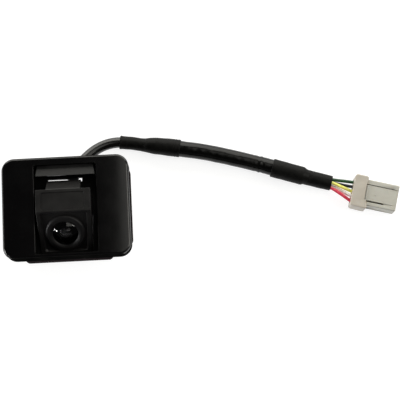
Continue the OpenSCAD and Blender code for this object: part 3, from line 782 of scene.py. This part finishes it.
def rounded_rect(width, height, radius, middle, spans=(24, 20), steps=10):
    """Points round a rounded rectangle, the same number whatever its size."""
    points = []
    corners = [(1, 1), (-1, 1), (-1, -1), (1, -1)]
    for quarter, (sx, sy) in enumerate(corners):
        cx = sx * (width / 2 - radius)
        cy = middle + sy * (height / 2 - radius)
        points += arc((cx, cy), radius, 90 * quarter, 90 * quarter + 90, steps)
        nx, ny = corners[(quarter + 1) % 4]
        turn = math.radians(90 * quarter + 90)
        after = Vector((nx * (width / 2 - radius) + radius * math.cos(turn),
                        middle + ny * (height / 2 - radius) + radius * math.sin(turn)))
        last = Vector(points[-1])
        count = spans[quarter % 2]
        points += [tuple(last.lerp(after, k / count)) for k in range(1, count)]
    return points


def face_height(x):
    """The face's height: nearly flat in the middle, and falling away to both sides."""
    return FACE_Z - CROWN * (x / (COVER_W / 2)) ** 6


def cover_loops():
    """Loops of the cover's skin: up its side, over its face, down the recess, and back."""
    edge = 1.2
    rim = 0.16
    foot = 0.25
    rebate = 17.4
    recess_mid = (RECESS_Y[0] + RECESS_Y[1]) / 2
    recess_h = RECESS_Y[1] - RECESS_Y[0]

    def outer(inset):
        return rounded_rect(COVER_W - 2 * inset, COVER_H - 2 * inset, COVER_R - inset, 0)

    def recess(outset):
        return rounded_rect(RECESS_W + 2 * outset, recess_h + 2 * outset, RECESS_R + outset,
                            recess_mid)

    def flat(points, z):
        return [(x, y, z) for x, y in points]

    def crowned(points, drop=0.0):
        return [(x, y, face_height(x) - drop) for x, y in points]

    loops = []
    for a in (90, 60, 30, 0):
        a = math.radians(a)
        loops.append(flat(outer(foot * (1 - math.cos(a))), REAR_Z + foot * (1 - math.sin(a))))
    side_h = FACE_Z - CROWN - edge - REAR_Z - foot
    for k in range(1, 4):
        loops.append(flat(outer(0), REAR_Z + foot + side_h * k / 4))
    for k in range(9):
        a = math.radians(90 * k / 8)
        loops.append(crowned(outer(edge * (1 - math.cos(a))), edge * (1 - math.sin(a))))
    border = outer(edge)
    inner = recess(rim)
    for k in range(1, 12):
        loops.append(crowned([Vector(p).lerp(q, k / 12) for p, q in zip(border, inner)]))
    for k in range(6):
        a = math.radians(90 * k / 5)
        loops.append(crowned(recess(rim * (1 - math.sin(a))), rim * (1 - math.cos(a))))
    for z in (23, 21, 19, rebate):
        loops.append(flat(recess(0), z))
    seat = rounded_rect(COVER_W - 2 * WALL, COVER_H - 2 * WALL + 0.3, COVER_R - WALL, 0)
    loops.append(flat(seat, rebate))
    loops.append(flat(seat, REAR_Z))
    return loops


def make_bezel():
    """The crowned cover, hollow behind its face on both sides of the recess."""
    cover = loft("bezel_cover_shell", cover_loops(), closed=True)
    inner_x = COVER_W / 2 - WALL
    inner_y = COVER_H / 2 - WALL
    ceiling = FACE_Z - WALL
    rim_x = RECESS_W / 2 + 1.4
    boss_x = 23.6
    boss_r = 2
    for side in (-1, 1):
        corners = [(side * rim_x, -inner_y + 0.3), (side * inner_x, -inner_y + 0.3),
                   (side * inner_x, inner_y - 0.3), (side * rim_x, inner_y - 0.3)]
        hollow = prism("hollow", rounded(corners, [0.6, 3.4, 3.4, 0.6]), REAR_Z + 1, ceiling)
        for y in (-8.5, 4.5):
            carve(hollow, lathe("boss", [(0.95, 10), (boss_r, 10), (boss_r, 30), (0.95, 30)],
                                Matrix.Translation((side * boss_x, y, 0)), 32))
        carve(cover, hollow)
    carve(cover, box("slot", (-13.7, RECESS_Y[1] - 0.3, REAR_Z), (13.7, inner_y, ceiling)))
    dress(even_shading(cover), "bezel_cover")


def make_rear():
    """The bracket, gasket, hooks and screws behind the bezel."""
    dress(refined("camera_bracket", 0.3), "camera_bracket")
    dress(refined("panel_gasket", 0.45), "panel_gasket")
    for side in ("left", "right"):
        dress(refined("snap_hook_" + side, 0.3), "snap_hook_" + side)
    for node in ("bracket_screws", "module_screws", "case_screws"):
        dress(refined(node, 0.12), node)


# --- camera pod --------------------------------------------------------------------------


def at(y, z):
    """Y and Z in the part's frame of a point of the optical frame."""
    point = OPTIC @ Vector((0, y, z))
    return Vector((point.y, point.z))


def pod_half(y):
    """Half the pod's width at a height y of the optical frame."""
    slope = (POD_HALF - CHIN_HALF) / (RIDGE - CHIN)
    return CHIN_HALF + slope * (min(y, RIDGE) - CHIN)


def pod_block(name, profile, halves):
    """A block between mirrored side outlines; profile holds Y and Z, halves half widths.

    The outline's third and last points part its tapered front from its straight back.
    """
    points = [(POD_X + side * half, p[0], p[1])
              for side in (-1, 1) for p, half in zip(profile, halves)]
    count = len(profile)
    faces = [(k, (k + 1) % count, (k + 1) % count + count, k + count) for k in range(count)]
    for start in (0, count):
        faces.append((start, start + 1, start + 2, start + count - 1))
        faces.append(tuple(range(start + 2, start + count)))
    return add_piece(name, points, faces)


def round_edges(piece, across, along, segments=6):
    """Rounds the edges of a pod block: those across it, and those along its side outlines."""
    count = len(across)
    widest = max(across + along)
    mesh = piece.data
    weights = mesh.attributes.new("bevel_weight_edge", "FLOAT", "EDGE")
    for edge, weight in zip(mesh.edges, weights.data):
        a, b = sorted(v % count for v in edge.vertices)
        if a == b:
            weight.value = across[a] / widest
        elif b - a == 1:
            weight.value = along[a] / widest
        elif (a, b) == (0, count - 1):
            weight.value = along[b] / widest
    edges = piece.modifiers.new("Edges", "BEVEL")
    edges.width = widest * MM
    edges.segments = segments
    edges.limit_method = "WEIGHT"
    settle(piece)


def make_front_case():
    """The pod's front: a tapered block with a sunk lens face, a sunk roof and a neck."""
    profile = [at(CHIN, 0), at(CHIN, FRONT_BACK), at(RIDGE, FRONT_BACK),
               at(SPLIT_TOP, FRONT_BACK), ROOF_BACK, at(RIDGE, 0)]
    halves = [CHIN_HALF, CHIN_HALF] + [POD_HALF] * 4
    case = pod_block("pod_front_case_shell", profile, halves)
    round_edges(case, across=[1.3, 0, 0, 0, 1.0, 0.5], along=[2.2, 0, 0, 2.0, 1.0, 1.7])
    carve(case, make_neck(), "UNION")
    hollow = [at(CHIN + POD_WALL, -FACE_SINK - POD_WALL), at(CHIN + POD_WALL, FRONT_BACK - 1),
              at(RIDGE, FRONT_BACK - 1), at(SPLIT_TOP - POD_WALL + 1.4, FRONT_BACK - 1),
              ROOF_BACK - Vector((1.8, 1.7)), at(RIDGE + 0.6, -FACE_SINK - POD_WALL)]
    carve(case, pod_block("hollow", hollow, [h - POD_WALL for h in halves]))
    carve(case, face_cutter())
    carve(case, roof_cutter())
    hole_r = 7.4
    carve(case, lathe("hole", [(0, -5), (hole_r, -5), (hole_r, 1), (0, 1)], OPTIC))
    soften(case, 0.22, angle=42)
    dress(case, "pod_front_case")


def make_neck():
    """The strip that runs over the pod's back edge and down behind it."""
    down = (NECK_END - ROOF_BACK).normalized()
    inward = POD_WALL * Vector((down.y, -down.x))
    start = Vector((3, 29.15))
    strip = [start, ROOF_BACK + Vector((0, -0.02)), NECK_END, NECK_END + inward,
             ROOF_BACK + inward * 1.3, start - Vector((0, POD_WALL))]
    outline = rounded(strip, [0, 1.0, 0.5, 0.5, 0.6, 0])
    turned = Matrix(((0, 0, 1), (1, 0, 0), (0, 1, 0))).to_4x4()
    place = Matrix.Translation((POD_X, 0, 0)) @ turned
    return prism("neck", outline, -NECK_HALF, NECK_HALF, place)


def face_cutter():
    """The sunk lens face, inside a rim along the pod's chin and sides."""
    low = CHIN + 1.7
    high = 9.8
    side = 2.4
    corners = [(-pod_half(low) + side, low), (pod_half(low) - side, low),
               (pod_half(high) - side, high), (-pod_half(high) + side, high)]
    outline = rounded(corners, [1.1, 1.1, 0.8, 0.8])
    return prism("face", outline, -FACE_SINK, 1.5, OPTIC, grow=0.15)


def roof_cutter():
    """The sunk roof panel, with sloping sides."""
    depth = 0.3
    ridge = at(RIDGE, 0)
    slope = math.atan2(ROOF_BACK.y - ridge.y, ROOF_BACK.x - ridge.x)
    middle_y = 4.75
    place = (Matrix.Translation((POD_X, ridge.x, ridge.y)) @ Matrix.Rotation(slope, 4, "X")
             @ Matrix.Translation((0, middle_y, 0)))
    corners = [(-9.6, -3.9), (9.2, -3.9), (9.2, 3.9), (-9.6, 3.9)]
    return prism("roof", rounded(corners, 0.9), -depth, 1.5, place, grow=0.12)


def dome(radius, sphere_r, sphere_z, steps, sign=1):
    """(radius, height) pairs of a spherical cap, from its rim to its pole."""
    widest = math.asin(radius / sphere_r)
    return [(sphere_r * math.sin(widest * (1 - k / steps)),
             sphere_z + sign * sphere_r * math.cos(widest * (1 - k / steps)))
            for k in range(steps + 1)]


def make_lens():
    """The trim ring, the lenses and the stop that show through the front lens."""
    ring = [(6.5, -1), (8, -1), (8, -0.72), (7.05, -0.7), (6.5, -0.95)]
    ring = rounded(ring, [0.02, 0.04, 0.12, 0.1, 0.02], 4)
    ring = lathe("lens_trim_ring_turned", ring, OPTIC, 128)
    dress(even_shading(ring), "lens_trim_ring")
    lens_r = 6.2
    front_z = -1.1 - math.sqrt(9.5 ** 2 - lens_r ** 2)
    outline = dome(lens_r, 9.5, front_z, 24)
    outline += list(reversed(dome(math.sqrt(4.2 ** 2 - 1.8 ** 2), 4.2, -4.6, 16)))
    outline += [(lens_r, -2.8)]
    dress(lathe("front_lens_glass", outline, OPTIC, 128), "front_lens")
    back = list(reversed(dome(math.sqrt(4.8 ** 2 - 16), 4.8, -9.4, 12)))
    outline = [(0, -4.2), (4.0, -4.2), (4.1, -4.3), (4.1, -5.4), *reversed(back)]
    dress(lathe("second_lens_glass", outline, OPTIC, 96), "second_lens")
    stop = [(4.1, -7.05), (4.1, -6.7), (3.3, -6.7), (2.0, -6.75), (1.0, -6.95), (1.0, -7.05)]
    dress(lathe("aperture_stop_turned", stop, OPTIC, 96), "aperture_stop")
    dress(refined("lens_barrel", 0.12), "lens_barrel")
    keep("lens_spacer")
    keep("rear_lens")
    keep("barrel_seal")


def make_pod_back():
    """The pod's rear case, its seal and the cable's grommet."""
    dress(refined("pod_rear_case", 0.35), "pod_rear_case")
    dress(refined("case_seal", 0.15), "case_seal")
    bore = CABLE_R + 0.05
    corners = [(bore, -3.4), (3.55, -3.4), (3.55, 0), (4.4, 0), (4.4, 1.2), (3.7, 1.2),
               (3.55, 2.2), (3.15, 2.2), (3.15, 2.8), (3.5, 2.8), (3.3, 3.9), (2.95, 3.9),
               (2.95, 4.5), (3.2, 4.5), (3.1, 5.5), (bore, 5.5)]
    dress(lathe("cable_grommet_moulded", rounded(corners, 0.12, 3), OUTLET, 64), "cable_grommet")


def make_electronics():
    """The lens holder, sensor, boards and sockets inside the pod."""
    for node in ("lens_holder", "ir_filter", "image_sensor", "sensor_board", "board_capacitors",
                 "board_connector", "processor_board", "processor_chip", "shield_can",
                 "cable_socket"):
        keep(node, 0.05)


# --- connector ---------------------------------------------------------------------------


def eased(piece, width, segments=4):
    """Rounds every edge of a plain block."""
    edges = piece.modifiers.new("Edges", "BEVEL")
    edges.width = width * MM
    edges.segments = segments
    settle(piece)
    return piece


def make_housing():
    """The five-way housing: its tail, the latch's channel, guide grooves and cavities."""
    body = eased(box("connector_housing_shell", (5.1, -6.1, 0.5), (20.6, 6.1, 8.8), PLUG), 0.5)
    carve(body, box("tail", (2, -5.6, 1), (5.7, 5.6, 8.2), PLUG), "UNION")
    carve(body, box("channel", (1, -3.9, 5.6), (18.6, 3.9, 10), PLUG))
    carve(body, box("lower_slot", (4, -4.4, 5.6), (14.8, -3, 10), PLUG))
    carve(body, box("root_recess", (18, -3.7, 8), (22, 3.7, 10), PLUG))
    for side in (-1, 1):
        low, high = sorted((side * 5.6, side * 7))
        carve(body, box("guide", (6.6, low, 1.75), (22, high, 2.65), PLUG))
    for way in range(5):
        y = 4.4 - 2.2 * way
        carve(body, box("cavity", (0, y - 0.9, 2.65), (19.6, y + 0.9, 4.55), PLUG))
        carve(body, box("mouth", (18, y - 0.5, 3.1), (22, y + 0.5, 4.1), PLUG))
    return dress(soften(body, 0.16, angle=50), "connector_housing")


def make_latch():
    """The latch arm, flush with the housing, with its round root, a tab and a grip ridge."""
    upright = PLUG @ Matrix(((1, 0, 0), (0, 0, -1), (0, 1, 0))).to_4x4()
    side_view = [(5.66, 7), *arc((17.5, 7.8), 0.8, -90, 10, 8), (20.3, 8.15), (20.3, 8.6),
                 (5.76, 8.6), (5.66, 8.5)]
    arm = prism("connector_latch_arm", side_view, -3.6, 3.6, upright)
    carve(arm, prism("grip", arc((6.2, 8.6), 0.42, 0, 330, 11), -3, 3, upright), "UNION")
    carve(arm, lathe("gate_mark", [(0, 8.45), (0.35, 8.45), (0.45, 9), (0, 9)],
                     PLUG @ Matrix.Translation((10.3, -0.9, 0)), 24))
    return dress(soften(arm, 0.14, angle=50), "connector_latch")


def make_retainer():
    """The collar that slides on over the tail and the end of the housing."""
    outline = [(0, -7.3), (7.2, -7.3), (6.1, -4), (5.8, 0), (5.8, 7.3), (0, 7.3)]
    collar = prism("terminal_retainer_shell", rounded(outline, [0.8, 0.6, 1.5, 1.5, 0.8, 0.8], 5),
                   0, 9.4, PLUG)
    rims = collar.modifiers.new("Edges", "BEVEL")
    rims.width = 0.8 * MM
    rims.segments = 5
    rims.limit_method = "ANGLE"
    rims.angle_limit = math.radians(60)
    settle(collar)
    carve(collar, box("tail_pocket", (1.2, -5.9, 0.7), (5.1, 5.9, 8.5), PLUG))
    carve(collar, box("sleeve_pocket", (4.8, -6.3, -1), (9, 6.3, 9), PLUG))
    carve(collar, box("latch_notch", (5.6, -3.75, 8.2), (9, 3.75, 11), PLUG))
    carve(collar, box("wire_window", (-1, -5.5, 2), (2, 5.5, 5.6), PLUG))
    return dress(soften(collar, 0.12, angle=50), "terminal_retainer")


def make_connector():
    """The housing with its latch, the retainer and the terminals."""
    keep("terminals", 0.05)
    return [make_housing(), make_latch(), make_retainer(), frame["nodes"]["terminals"]]


place_camera()
wires = make_lead()
connector = make_connector()
make_bezel()
make_rear()
make_front_case()
make_lens()
make_pod_back()
make_electronics()
lay_floor()
light_scene()
